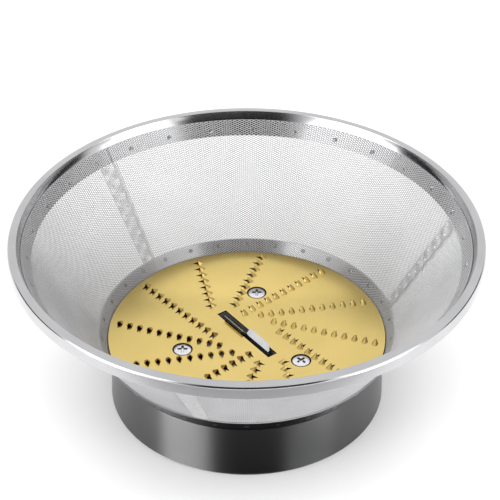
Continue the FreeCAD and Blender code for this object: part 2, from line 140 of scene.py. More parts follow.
class NodeBench:
    """A node tree with short calls for adding and joining nodes."""

    def __init__(self, tree: NodeTree) -> None:
        """Starts on an empty tree."""
        self.tree = tree
        tree.nodes.clear()

    def add(self, kind: str, **settings: object) -> Node:
        """Adds a node.

        Args:
            kind: Name of the node's type.
            settings: Properties to set on it.

        Returns:
            The new node.
        """
        node = self.tree.nodes.new(kind)
        for name, value in settings.items():
            setattr(node, name, value)
        return node

    def join(self, source: NodeSocket, target: NodeSocket) -> None:
        """Links an output to an input."""
        self.tree.links.new(source, target)

    def place(self) -> NodeSocket:
        """Adds Object coordinates and returns their output."""
        return self.add("ShaderNodeTexCoord").outputs["Object"]

    def axes(self, source: NodeSocket) -> dict[str, NodeSocket]:
        """Splits a vector.

        Args:
            source: Output with the vector.

        Returns:
            The outputs X, Y and Z.
        """
        node = self.add("ShaderNodeSeparateXYZ")
        self.join(source, node.inputs[0])
        return {axis: node.outputs[axis] for axis in "XYZ"}

    def ramp(self, source: NodeSocket, span: Point, to: Point = (0.0, 1.0),
             curve: str = "LINEAR") -> NodeSocket:
        """Maps an output from one range to another.

        Args:
            source: Output that is mapped.
            span: Its values at the two ends.
            to: The mapped values there.
            curve: Kind of the ramp.

        Returns:
            The mapped output.
        """
        node = self.add("ShaderNodeMapRange", interpolation_type=curve)
        for name, value in zip(("From Min", "From Max", "To Min", "To Max"), (*span, *to)):
            node.inputs[name].default_value = value
        self.join(source, node.inputs["Value"])
        return node.outputs["Result"]

    def product(self, one: NodeSocket, other: NodeSocket) -> NodeSocket:
        """Multiplies two outputs."""
        node = self.add("ShaderNodeMath", operation="MULTIPLY")
        self.join(one, node.inputs[0])
        self.join(other, node.inputs[1])
        return node.outputs[0]

    def blend(self, factor: NodeSocket, low: Colour | NodeSocket, high: Colour) -> NodeSocket:
        """Mixes two colours by a mask.

        Args:
            factor: The mask.
            low: Colour where the mask is 0, or an output with it.
            high: Colour where the mask is 1.

        Returns:
            The mixed colour's output.
        """
        node = self.add("ShaderNodeMix", data_type="RGBA")
        self.join(factor, node.inputs["Factor"])
        if isinstance(low, NodeSocket):
            self.join(low, node.inputs["A"])
        else:
            node.inputs["A"].default_value = (*low, 1.0)
        node.inputs["B"].default_value = (*high, 1.0)
        return node.outputs["Result"]


def open_material(name: str) -> tuple[Material, NodeBench, Node]:
    """Makes a material with one shader.

    Args:
        name: Name of the material.

    Returns:
        The material, its bench and its shader.
    """
    material = bpy.data.materials.new(name)
    material.use_nodes = True
    bench = NodeBench(material.node_tree)
    output = bench.add("ShaderNodeOutputMaterial")
    shader = bench.add("ShaderNodeBsdfPrincipled")
    bench.join(shader.outputs[0], output.inputs["Surface"])
    return material, bench, shader


class EffectGroups:
    """Shader node groups that several finishes use."""

    def __init__(self) -> None:
        """Builds each group once."""
        self.grain = {Grain.SPUN: self.spun(), Grain.ROLLED: self.rolled(), Grain.CAST: self.cast()}
        self.smudges = self.blotches()

    @staticmethod
    def start(name: str) -> tuple[NodeBench, NodeSocket, NodeSocket]:
        """Opens a group with a Scale input and a Mask output.

        Args:
            name: Name of the group.

        Returns:
            The bench, the scale and the input of the mask.
        """
        tree = bpy.data.node_groups.new(name, "ShaderNodeTree")
        bench = NodeBench(tree)
        tree.interface.new_socket("Scale", in_out="INPUT", socket_type="NodeSocketFloat")
        tree.interface.new_socket("Mask", in_out="OUTPUT", socket_type="NodeSocketFloat")
        scale = bench.add("NodeGroupInput").outputs["Scale"]
        return bench, scale, bench.add("NodeGroupOutput").inputs["Mask"]

    @staticmethod
    def noise(bench: NodeBench, vector: NodeSocket, scale: NodeSocket,
              detail: float) -> NodeSocket:
        """Adds a noise texture.

        Args:
            bench: Where it is added.
            vector: Its coordinates.
            scale: Its scale.
            detail: Its octaves.

        Returns:
            The noise's output.
        """
        texture = bench.add("ShaderNodeTexNoise")
        texture.inputs["Detail"].default_value = detail
        bench.join(vector, texture.inputs["Vector"])
        bench.join(scale, texture.inputs["Scale"])
        return texture.outputs["Fac"]

    def spun(self) -> NodeTree:
        """Fine rings round the spin axis, as a lathe or a spinning tool leaves."""
        bench, scale, mask = self.start(Grain.SPUN.value)
        axes = bench.axes(bench.place())
        flat = bench.add("ShaderNodeCombineXYZ")
        bench.join(axes["X"], flat.inputs["X"])
        bench.join(axes["Y"], flat.inputs["Y"])
        length = bench.add("ShaderNodeVectorMath", operation="LENGTH")
        bench.join(flat.outputs[0], length.inputs[0])
        rings = bench.add("ShaderNodeCombineXYZ")
        bench.join(length.outputs["Value"], rings.inputs["X"])
        bench.join(axes["Z"], rings.inputs["Y"])
        bench.join(self.noise(bench, rings.outputs[0], scale, 3.0), mask)
        return bench.tree

    def rolled(self) -> NodeTree:
        """Fine straight lines along Y, as in rolled sheet."""
        bench, scale, mask = self.start(Grain.ROLLED.value)
        squeeze = bench.add("ShaderNodeMapping")
        squeeze.inputs["Scale"].default_value = (1.0, 0.03, 1.0)
        bench.join(bench.place(), squeeze.inputs["Vector"])
        bench.join(self.noise(bench, squeeze.outputs[0], scale, 3.0), mask)
        return bench.tree

    def cast(self) -> NodeTree:
        """Even fine grain, as of a mould or an etched sheet."""
        bench, scale, mask = self.start(Grain.CAST.value)
        bench.join(self.noise(bench, bench.place(), scale, 4.0), mask)
        return bench.tree

    def blotches(self) -> NodeTree:
        """Soft large patches, as of handling and of uneven polish."""
        bench, scale, mask = self.start("smudges")
        patches = self.noise(bench, bench.place(), scale, 2.0)
        bench.join(bench.ramp(patches, (0.3, 0.7), curve="SMOOTHSTEP"), mask)
        return bench.tree


@dataclass(frozen=True)
class Finish:
    """One surface finish.

    Attributes:
        name: Name of the material.
        light: Colour where the smudge mask is 0.
        dark: Colour where the smudge mask is 1.
        gloss: Roughness where the grain mask is 0 and 1.
        metal: Metallic value.
        grain: Kind of fine lines.
        grain_scale: Scale of the fine lines.
        relief: Height of the fine lines.
        smudge_scale: Scale of the soft patches.
        specular: Specular level of a finish that is no metal.
        inner: Paler colour painted near the middle of the basket, under the disc's slot, as painted light,
            if any.
    """

    name: str
    light: Colour
    dark: Colour
    gloss: Point
    metal: float
    grain: Grain
    grain_scale: float
    relief: float
    smudge_scale: float
    specular: float = 0.5
    inner: Colour | None = None

    def build(self, effects: EffectGroups) -> Material:
        """Makes the material.

        Args:
            effects: The shared node groups.

        Returns:
            The new material.
        """
        material, bench, shader = open_material(self.name)
        shader.inputs["Metallic"].default_value = self.metal
        shader.inputs["Specular IOR Level"].default_value = self.specular
        grain = bench.add("ShaderNodeGroup", node_tree=effects.grain[self.grain])
        grain.inputs["Scale"].default_value = self.grain_scale
        smudges = bench.add("ShaderNodeGroup", node_tree=effects.smudges)
        smudges.inputs["Scale"].default_value = self.smudge_scale
        colour = bench.blend(smudges.outputs["Mask"], self.light, self.dark)
        if self.inner:
            colour = self.add_painted_light(bench, colour)
        bench.join(colour, shader.inputs["Base Color"])
        bench.join(bench.ramp(grain.outputs["Mask"], (0.0, 1.0), self.gloss), shader.inputs["Roughness"])
        bump = bench.add("ShaderNodeBump")
        bump.inputs["Distance"].default_value = self.relief
        bench.join(grain.outputs["Mask"], bump.inputs["Height"])
        bench.join(bump.outputs["Normal"], shader.inputs["Normal"])
        return material

    def add_painted_light(self, bench: NodeBench, colour: NodeSocket) -> NodeSocket:
        """Paints a paler patch under the disc's slot, as painted light.

        Args:
            bench: Bench of the material.
            colour: Colour of all other parts.

        Returns:
            The joined colour.
        """
        place = bench.place()
        away = bench.add("ShaderNodeVectorMath", operation="DISTANCE")
        away.inputs[1].default_value = PAINTED_LIGHT_MIDDLE
        bench.join(place, away.inputs[0])
        near = bench.ramp(away.outputs["Value"], PAINTED_LIGHT_REACH)
        above = bench.ramp(bench.axes(place)["Z"], PAINTED_LIGHT_FOOT)
        return bench.blend(bench.product(near, above), colour, self.inner)


@dataclass(frozen=True)
class CardFinish:
    """Matt finish of a card that fades out towards its edges.

    Attributes:
        name: Name of the material.
        level: Lightness of the card.
        fade: Width of the fading edge, as a share of the card.
    """

    name: str
    level: float
    fade: float = 0.22

    def build(self) -> Material:
        """Makes the material."""
        material, bench, shader = open_material(self.name)
        shader.inputs["Base Color"].default_value = (self.level, self.level, self.level, 1.0)
        shader.inputs["Roughness"].default_value = 1.0
        shader.inputs["Specular IOR Level"].default_value = 0.0
        size = bench.add("ShaderNodeVectorMath", operation="ABSOLUTE")
        bench.join(bench.place(), size.inputs[0])
        axes = bench.axes(size.outputs[0])
        edges = [bench.ramp(axes[axis], (0.5, 0.5 - self.fade), curve="SMOOTHSTEP") for axis in "XY"]
        bench.join(bench.product(*edges), shader.inputs["Alpha"])
        return material


class Finishes:
    """All materials of the basket."""

    def __init__(self) -> None:
        """Builds each finish once."""
        effects = EffectGroups()
        self.rim_steel = Finish(
            "rim_polished_steel", (0.57, 0.57, 0.58), (0.52, 0.52, 0.53), (0.11, 0.17), 1.0,
            Grain.SPUN, 2600.0, 0.001 * MM, 45.0).build(effects)
        self.mesh_steel = Finish(
            "mesh_sheet_steel", (0.4, 0.4, 0.408), (0.365, 0.365, 0.373), (0.5, 0.6), 0.6,
            Grain.CAST, 5000.0, 0.01 * MM, 60.0).build(effects)
        self.weld_steel = Finish(
            "weld_mark_steel", (0.3, 0.3, 0.3), (0.2, 0.2, 0.21), (0.3, 0.45), 1.0,
            Grain.CAST, 2500.0, 0.02 * MM, 900.0).build(effects)
        self.seam_steel = Finish(
            "seam_bright_steel", (0.55, 0.55, 0.55), (0.45, 0.45, 0.46), (0.6, 0.75), 0.8,
            Grain.CAST, 2500.0, 0.02 * MM, 900.0).build(effects)
        self.gold = Finish(
            "gold_coated_steel", (0.81, 0.62, 0.225), (0.76, 0.58, 0.205), (0.2, 0.28), 1.0,
            Grain.ROLLED, 2200.0, 0.003 * MM, 35.0).build(effects)
        # Painted shade: a darker copy of the gold for the teeth, for the shade and dark reflections on their
        # hoods.
        self.tooth_gold_painted_shade = Finish(
            "gold_teeth_painted_shade", (0.62, 0.45, 0.15), (0.5, 0.36, 0.12), (0.2, 0.3), 1.0,
            Grain.ROLLED, 2200.0, 0.003 * MM, 300.0).build(effects)
        # Painted shade: a near-black colour for recess and hole walls, the disc's edge and the mesh below
        # the disc, where shade falls.
        self.shade = Finish(
            "painted_shade_recess", (0.05, 0.04, 0.03), (0.03, 0.025, 0.02), (0.5, 0.65), 0.0,
            Grain.CAST, 3000.0, 0.01 * MM, 400.0, 0.3).build(effects)
        self.blade_steel = Finish(
            "blade_ground_steel", (0.7, 0.7, 0.71), (0.6, 0.6, 0.62), (0.12, 0.24), 1.0,
            Grain.ROLLED, 3000.0, 0.006 * MM, 150.0).build(effects)
        # Painted shade: a near-black colour for the blade wings' long outer edges, so the wing looks dark.
        self.painted_shade_edge = Finish(
            "blade_edge_painted_shade", (0.05, 0.05, 0.06), (0.03, 0.03, 0.035), (0.35, 0.45), 1.0,
            Grain.ROLLED, 3000.0, 0.006 * MM, 300.0).build(effects)
        self.screw_steel = Finish(
            "screw_plated_steel", (0.86, 0.86, 0.9), (0.78, 0.78, 0.82), (0.2, 0.3), 1.0,
            Grain.CAST, 4000.0, 0.006 * MM, 400.0).build(effects)
        # The last colour is painted light: a paler patch on the base under the disc's slot.
        self.plastic = Finish(
            "black_moulded_plastic", (0.004, 0.004, 0.0045), (0.007, 0.007, 0.0075), (0.26, 0.32), 0.0,
            Grain.CAST, 6000.0, 0.003 * MM, 50.0, 1.0, (0.16, 0.165, 0.19)).build(effects)
        self.floor = Finish(
            "pale_studio_floor", (0.92, 0.92, 0.92), (0.9, 0.9, 0.9), (0.9, 0.95), 0.0,
            Grain.CAST, 300.0, 0.0, 3.0, 0.1).build(effects)


def only(items: Iterable[object], kind: type) -> list:
    """Picks the items of one kind."""
    return [item for item in items if isinstance(item, kind)]


def paint(faces: Iterable[BMFace], material: int) -> None:
    """Gives faces the material of an index."""
    for face in faces:
        face.material_index = material


def closed_loop(bm: BMesh, points: Iterable[Vector | Spot]) -> None:
    """Adds a closed loop of edges.

    Args:
        bm: Mesh that gets the loop.
        points: Corners of the loop.
    """
    corners = [bm.verts.new(point) for point in points]
    for here, after in zip(corners, corners[1:] + corners[:1]):
        bm.edges.new((here, after))


def ring(profile: list[Point], steps: int = 256) -> BMesh:
    """Spins a closed profile once round the spin axis.

    Args:
        profile: Radius and height of each corner.
        steps: Number of steps round.

    Returns:
        The closed ring.
    """
    bm = bmesh.new()
    closed_loop(bm, [(radius, 0.0, height) for radius, height in profile])
    bmesh.ops.spin(bm, geom=bm.verts[:] + bm.edges[:], cent=ORIGIN, axis=SPIN_AXIS, dvec=ORIGIN,
                   angle=2 * math.pi, steps=steps, use_merge=True)
    bmesh.ops.recalc_face_normals(bm, faces=bm.faces[:])
    return bm


def round_ring(bm: BMesh, corner: Point, radius: float, segments: int) -> None:
    """Rounds the ring edge through one corner of a spun profile.

    Args:
        bm: The spun shape.
        corner: Radius and height of the corner.
        radius: Size of the rounding.
        segments: Steps across the rounding.
    """
    near = 1e-6

    def on_ring(vert: BMVert) -> bool:
        """Whether a vertex lies on the corner's ring."""
        return abs(vert.co.xy.length - corner[0]) < near and abs(vert.co.z - corner[1]) < near

    edges = [edge for edge in bm.edges if all(on_ring(vert) for vert in edge.verts)]
    bmesh.ops.bevel(bm, geom=edges, offset=radius, offset_type="OFFSET", segments=segments,
                    profile=0.5, affect="EDGES", material=-1)


def add_button(bm: BMesh, place: Matrix, radius: float, rise: float, material: int) -> None:
    """Adds the low round mark of a spot weld.

    Args:
        bm: Mesh that gets the mark.
        place: Place on the sheet with Z square to it.
        radius: Radius of the mark.
        rise: Height of the mark above the sheet.
        material: Index of the mark's material.
    """
    shape = place @ Matrix.Diagonal((radius, radius, rise, 1.0))
    made = bmesh.ops.create_uvsphere(bm, u_segments=12, v_segments=6, radius=1.0, matrix=shape)
    paint({face for vert in made["verts"] for face in vert.link_faces}, material)


def pour(source: BMesh, target: BMesh) -> None:
    """Moves a finished mesh into another.

    Args:
        source: The mesh, which is freed.
        target: The mesh that takes it in.
    """
    carrier = bpy.data.meshes.new("carrier")
    source.to_mesh(carrier)
    source.free()
    target.from_mesh(carrier)
    bpy.data.meshes.remove(carrier)


def make_mesh(bm: BMesh, name: str, materials: list[Material]) -> Mesh:
    """Turns a bmesh into a mesh.

    Args:
        bm: The bmesh, which is freed.
        name: Name of the mesh.
        materials: Its materials, in the order of their indices.

    Returns:
        The mesh.
    """
    mesh = bpy.data.meshes.new(name)
    bm.to_mesh(mesh)
    bm.free()
    for material in materials:
        mesh.materials.append(material)
    return mesh


def add_object(name: str, data: ID) -> Object:
    """Puts a mesh, a lamp or a camera into the scene.

    Args:
        name: Name of the object.
        data: What it shows.

    Returns:
        The object.
    """
    item = bpy.data.objects.new(name, data)
    bpy.context.scene.collection.objects.link(item)
    return item


def make_piece(bm: BMesh, name: str, materials: list[Material],
               nodes: list[str], crease: float = 35.0, weighted: bool = True) -> Object:
    """Turns a mesh into a piece that stands for CAD nodes.

    Args:
        bm: The mesh, which is freed.
        name: Name of the piece.
        materials: Its materials, in the order of their indices.
        nodes: CAD nodes that it replaces.
        crease: Angle above which an edge stays sharp, in degrees.
        weighted: Whether large faces keep their own normals beside rounded edges.

    Returns:
        The new object.
    """
    for face in bm.faces:
        face.smooth = True
    mesh = make_mesh(bm, name, materials)
    mesh.set_sharp_from_angle(angle=math.radians(crease))
    piece = add_object(name, mesh)
    if weighted:
        normals = piece.modifiers.new("weighted_normals", "WEIGHTED_NORMAL")
        normals.keep_sharp = True
    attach(piece, ROOT)
    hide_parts(*nodes)
    LOG.info("%s: %d faces", name, len(mesh.polygons))
    return piece


@dataclass
class RimRing:
    """Polished ring at the mouth, rolled as an upside-down channel."""

    wall: Cone
    radius: float = 97.98 * MM
    top: float = 80.4 * MM
    fall: float = 0.55 * MM
    mouth: float = 3.88 * MM
    mesh_top: float = 76.6 * MM
    wall_foot: float = 74.3 * MM
    skirt_foot: float = 70.7 * MM
    sheet: float = 0.6 * MM
    mesh_sheet: float = 0.42 * MM
    mouth_bend: float = 0.4 * MM
    mouth_round: float = 0.22 * MM
    outer_bend: float = 1.4 * MM
    hem: float = 0.2 * MM

    def build(self, steel: Material) -> None:
        """Spins the channel and rounds its bends.

        Args:
            steel: The rim's finish.
        """
        outer = self.mesh_sheet + self.sheet
        ease = self.fall * self.sheet / self.mouth
        inner = self.radius - self.mouth
        mouth = (inner, self.top - self.mouth_bend)
        lip = (inner + self.mouth_bend, self.top)
        outer_top = (self.radius, self.top - self.fall)
        hem_out = (self.radius, self.wall_foot)
        hem_in = (self.radius - self.sheet, self.wall_foot)
        bm = ring([
            (self.wall.radius(self.skirt_foot, self.mesh_sheet), self.skirt_foot),
            (self.wall.radius(self.mesh_top, self.mesh_sheet), self.mesh_top),
            mouth,
            lip,
            outer_top,
            hem_out,
            hem_in,
            (self.radius - self.sheet, outer_top[1] - self.sheet + ease),
            (inner + self.sheet, self.top - self.sheet - ease),
            (self.wall.radius(self.mesh_top, outer), self.mesh_top),
            (self.wall.radius(self.skirt_foot, outer), self.skirt_foot),
        ])
        for corner in (mouth, lip):
            round_ring(bm, corner, self.mouth_round, 3)
        round_ring(bm, outer_top, self.outer_bend, 8)
        for corner in (hem_out, hem_in):
            round_ring(bm, corner, self.hem, 2)
        make_piece(bm, "rim_ring_polished", [steel], ["rim_ring"])


@dataclass
class MeshPanel:
    """One panel of perforated sheet: a third of the cone, with a lap over the next panel."""

    wall: Cone
    number: int
    seam: float = 11.5
    sector: float = 120.0
    seam_gap: float = 0.2
    lap_root: float = 1.0
    lap: float = 4.5
    foot: float = 25.5 * MM
    top: float = 76.6 * MM
    lap_foot: float = 32.7 * MM
    lap_top: float = 70.4 * MM
    sheet: float = 0.25 * MM
    seat_gap: float = 0.02 * MM
    pitch_rows: int = 70
    pitch_columns: int = 90
    lap_crowding: float = 1.15
    lap_bar: float = 0.04 * MM
    parts: int = 2
    bar: float = 0.13 * MM
    # Below this height the sheet is painted shade, a near-black colour seen in the gap round the disc's
    # edge.
    painted_shade_top: float = 27.6 * MM
    weld_radius: float = 0.95 * MM
    weld_rise: float = 0.14 * MM
    weld_step: float = 12.0
    weld_margin: float = 1.0
    rim_welds: Point = (73.2 * MM, 4.4)
    collar_welds: Point = (30.8 * MM, 6.0)
    seam_welds: int = 13
    seam_sides: Point = (3.0, 1.1)
    seam_weld_radius: float = 0.8075 * MM

    @property
    def start(self) -> float:
        """Direction of the panel's first edge, in degrees."""
        return self.seam + (self.number - 1) * self.sector

    def sheet_strip(self, bm: BMesh, low: float, high: float, begin: float, span: float,
                    rows: int, columns: int, offset: float, bar: float, part: PanelPart,
                    kept: Point = (0.0, 1.0)) -> None:
        """Adds a strip of the cone pierced by a staggered pattern.

        Args:
            bm: Mesh that gets the strip.
            low: Height of its lower edge.
            high: Height of its upper edge.
            begin: Direction of its first edge, in degrees.
            span: Width of the strip, in degrees.
            rows: Cells up the strip.
            columns: Cells round the strip.
            offset: Its inner face from the cone's inner face.
            bar: Half the width of a bar between two holes.
            part: Which of the panel's materials it has above the disc; below it, the faces get painted
                shade.
            kept: Share of the strip's width that is kept, from and to.
        """
        strip = bmesh.new()
        outer = offset + self.sheet
        ends = [strip.verts.new((self.wall.radius(height, outer), 0.0, height)) for height in (low, high)]
        line = strip.edges.new(ends)
        bmesh.ops.subdivide_edges(strip, edges=[line], cuts=rows - 1)
        bmesh.ops.rotate(strip, cent=ORIGIN, matrix=Matrix.Rotation(math.radians(begin), 3, "Z"),
                         verts=strip.verts[:])
        bmesh.ops.spin(strip, geom=strip.verts[:] + strip.edges[:], cent=ORIGIN, axis=SPIN_AXIS,
                       dvec=ORIGIN, angle=math.radians(span), steps=columns)
        grid = strip.edges[:]
        bmesh.ops.poke(strip, faces=strip.faces[:])
        bmesh.ops.dissolve_edges(strip, edges=[edge for edge in grid if not edge.is_boundary])
        bmesh.ops.recalc_face_normals(strip, faces=strip.faces[:])
        strip.faces.ensure_lookup_table()
        face = strip.faces[0]
        if face.normal.dot(face.calc_center_median().xy.to_3d()) < 0:
            bmesh.ops.reverse_faces(strip, faces=strip.faces[:])
        holes = strip.faces[:]
        bmesh.ops.inset_individual(strip, faces=holes, thickness=bar, use_even_offset=True)
        bmesh.ops.delete(strip, geom=holes, context="FACES_ONLY")
        beyond = [face for face in strip.faces if not kept[0] <= self.share(face, begin, span) < kept[1]]
        bmesh.ops.delete(strip, geom=beyond, context="FACES")
        bmesh.ops.solidify(strip, geom=strip.faces[:], thickness=self.sheet)
        # Faces below the disc are painted shade, so the gap round the disc's edge looks dark.
        for face in strip.faces:
            shaded = face.calc_center_median().z < self.painted_shade_top
            face.material_index = PanelPart.PAINTED_SHADE if shaded else part
        pour(strip, bm)

    @staticmethod
    def share(face: BMFace, begin: float, span: float) -> float:
        """Place of a face across a strip.

        Args:
            face: The face.
            begin: Direction of the strip's first edge, in degrees.
            span: Width of the strip, in degrees.

        Returns:
            Its place from 0 at the first edge to 1 at the last.
        """
        middle = face.calc_center_median()
        return (math.degrees(math.atan2(middle.y, middle.x)) - begin) % 360.0 / span

    def add_welds(self, bm: BMesh) -> None:
        """Adds the spot welds along the rim, the collar and the seam.

        Args:
            bm: The panel's mesh.
        """
        for height, first in (self.rim_welds, self.collar_welds):
            azimuth = first
            while azimuth < self.start + self.weld_margin:
                azimuth += self.weld_step
            while azimuth < self.start + self.sector - self.weld_margin:
                place = self.wall.place(azimuth, height)
                add_button(bm, place, self.weld_radius, self.weld_rise, PanelPart.WELD)
                azimuth += self.weld_step
        for count in range(self.seam_welds):
            share = (count + 0.5) / self.seam_welds
            height = self.lap_foot + share * (self.lap_top - self.lap_foot)
            place = self.wall.place(self.start + self.seam_sides[count % 2], height)
            add_button(bm, place, self.seam_weld_radius, self.weld_rise, PanelPart.SEAM)

    def build(self, finishes: Finishes) -> list[Object]:
        """Makes the pierced sheet in upright parts, the last with the lap and the welds.

        Args:
            finishes: The basket's materials.

        Returns:
            The parts.
        """
        node = f"mesh_panel_{self.number}"
        pieces = []
        materials = [finishes.mesh_steel, finishes.weld_steel, finishes.shade, finishes.seam_steel]
        for part in range(self.parts):
            bm = bmesh.new()
            kept = (part / self.parts, (part + 1) / self.parts)
            self.sheet_strip(bm, self.foot, self.top, self.start, self.sector - self.seam_gap,
                             self.pitch_rows, self.pitch_columns, 0.0, self.bar, PanelPart.SHEET, kept)
            if part == self.parts - 1:
                self.add_lap(bm)
                welds = bmesh.new()
                self.add_welds(welds)
                pour(welds, bm)
            pieces.append(make_piece(bm, f"{node}_pierced_{part + 1}", materials, [node],
                                     weighted=False))
        return pieces

    def add_lap(self, bm: BMesh) -> None:
        """Adds the strip that laps over the next panel.

        Args:
            bm: The panel's mesh.
        """
        begin = self.start + self.sector - self.seam_gap - self.lap_root
        span = self.lap_root + self.seam_gap + self.lap
        rows = round(self.lap_crowding * self.pitch_rows
                     * (self.lap_top - self.lap_foot) / (self.top - self.foot))
        columns = round(self.lap_crowding * self.pitch_columns * span / self.sector)
        self.sheet_strip(bm, self.lap_foot, self.lap_top, begin, span, rows, columns,
                         self.sheet + self.seat_gap, self.lap_bar, PanelPart.SEAM)


@dataclass
class BaseCollar:
    """Steel ring round the foot of the mesh, with a flange that goes into the base."""

    wall: Cone
    seat: float = 25.0 * MM
    top: float = 32.4 * MM
    sheet: float = 0.5 * MM
    mesh_sheet: float = 0.42 * MM
    flange_depth: float = 3.2 * MM
    bend: float = 0.8 * MM
    weld_height: float = 28.4 * MM
    weld_first: float = 6.0
    weld_count: int = 30
    weld_radius: float = 1.1 * MM
    weld_rise: float = 0.18 * MM

    def build(self, steel: Material, weld: Material) -> None:
        """Spins the collar, rounds its bend and adds its welds.

        Args:
            steel: Finish of the collar.
            weld: Finish of the spot welds.
        """
        outer = self.mesh_sheet + self.sheet
        flange_top = self.seat + self.sheet
        flange_inner = self.wall.radius(self.seat) - self.flange_depth
        bend = (self.wall.radius(self.seat, outer), self.seat)
        bm = ring([
            (flange_inner, self.seat),
            bend,
            (self.wall.radius(self.top, outer), self.top),
            (self.wall.radius(self.top, self.mesh_sheet), self.top),
            (self.wall.radius(flange_top, self.mesh_sheet), flange_top),
            (flange_inner, flange_top),
        ])
        round_ring(bm, bend, self.bend, 4)
        welds = bmesh.new()
        for count in range(self.weld_count):
            azimuth = self.weld_first + count * 360.0 / self.weld_count
            add_button(welds, self.wall.place(azimuth, self.weld_height, outer), self.weld_radius,
                       self.weld_rise, 1)
        pour(welds, bm)
        make_piece(bm, "base_collar_polished", [steel, weld], ["base_collar"])


@dataclass
class CentreBlade:
    """Small strip in the slot, its halves bent over as opposite wings."""

    length: float = 31.0 * MM
    sheet: float = 0.8 * MM
    wing: float = 2.6 * MM
    tilt: float = 38.0
    clip: float = 3.0 * MM
    tang_foot: float = 17.4 * MM
    fold: float = 28.2 * MM
    azimuth: float = -53.6
    edge: float = 0.07 * MM
    sharp_angle: float = 0.3
    painted_edge_side: float = 0.7
    painted_edge_rise: float = 0.4

    def half(self, bm: BMesh) -> None:
        """Adds the half whose wing leans towards +Y.

        Args:
            bm: The blade's mesh.
        """
        half = self.sheet / 2
        tilt = math.radians(self.tilt)
        fold = self.fold - half * math.tan(tilt)
        reach, rise = self.wing * math.cos(tilt), self.wing * math.sin(tilt)
        thick_across, thick_up = self.sheet * math.sin(tilt), self.sheet * math.cos(tilt)
        section = [
            (-half, self.tang_foot),
            (half, self.tang_foot),
            (half, fold),
            (half + reach, fold + rise),
            (half + reach - thick_across, fold + rise + thick_up),
            (-half, fold + self.sheet / math.cos(tilt) - self.sheet * math.tan(tilt)),
        ]
        face = bm.faces.new([bm.verts.new((0.0, across, up)) for across, up in section])
        made = bmesh.ops.extrude_face_region(bm, geom=[face])["geom"]
        far = only(made, BMVert)
        bmesh.ops.translate(bm, verts=far, vec=(self.length / 2, 0.0, 0.0))
        verts = list(face.verts) + far
        parts = verts + list({edge for vert in verts for edge in vert.link_edges})
        parts += list({face for vert in verts for face in vert.link_faces})
        corner = Vector((self.length / 2 - self.clip, half + reach, 0.0))
        normal = Vector((reach, self.clip, 0.0)).normalized()
        cut = bmesh.ops.bisect_plane(bm, geom=parts, plane_co=corner, plane_no=normal, clear_outer=True)
        bmesh.ops.holes_fill(bm, edges=only(cut["geom_cut"], BMEdge))

    def build(self, steel: Material, cut: Material) -> None:
        """Makes both halves and breaks their edges.

        Args:
            steel: Finish of the blade.
            cut: Painted shade for the wings' long outer edges, a near-black colour.
        """
        bm = bmesh.new()
        self.half(bm)
        whole = bm.verts[:] + bm.edges[:] + bm.faces[:]
        copy = bmesh.ops.duplicate(bm, geom=whole)["geom"]
        bmesh.ops.rotate(bm, cent=ORIGIN, matrix=Matrix.Rotation(math.pi, 3, "Z"), verts=only(copy, BMVert))
        bmesh.ops.recalc_face_normals(bm, faces=bm.faces[:])
        sharp = [edge for edge in bm.edges if edge.is_manifold and edge.calc_face_angle() > self.sharp_angle]
        bmesh.ops.bevel(bm, geom=sharp, offset=self.edge, offset_type="OFFSET", segments=2,
                        profile=0.5, affect="EDGES", material=-1)
        # Painted shade: the wings' long outer edges, which face sideways and up, get a near-black colour.
        paint([face for face in bm.faces
               if abs(face.normal.y) > self.painted_edge_side and face.normal.z > self.painted_edge_rise], 1)
        turn = Matrix.Rotation(math.radians(self.azimuth), 3, "Z")
        bmesh.ops.rotate(bm, cent=ORIGIN, matrix=turn, verts=bm.verts[:])
        make_piece(bm, "centre_blade_ground", [steel, cut], ["centre_blade"], 25.0)


@dataclass(frozen=True)
class ScrewCircle:
    """Where the screws stand round the spin axis."""

    radius: float = 29.0 * MM
    azimuth: float = 81.5
    count: int = 3

    def spots(self) -> list[Vector]:
        """Axes of the screws."""
        ways = [math.radians(self.azimuth + number * 360.0 / self.count) for number in range(self.count)]
        return [Vector((math.cos(way), math.sin(way), 0.0)) * self.radius for way in ways]


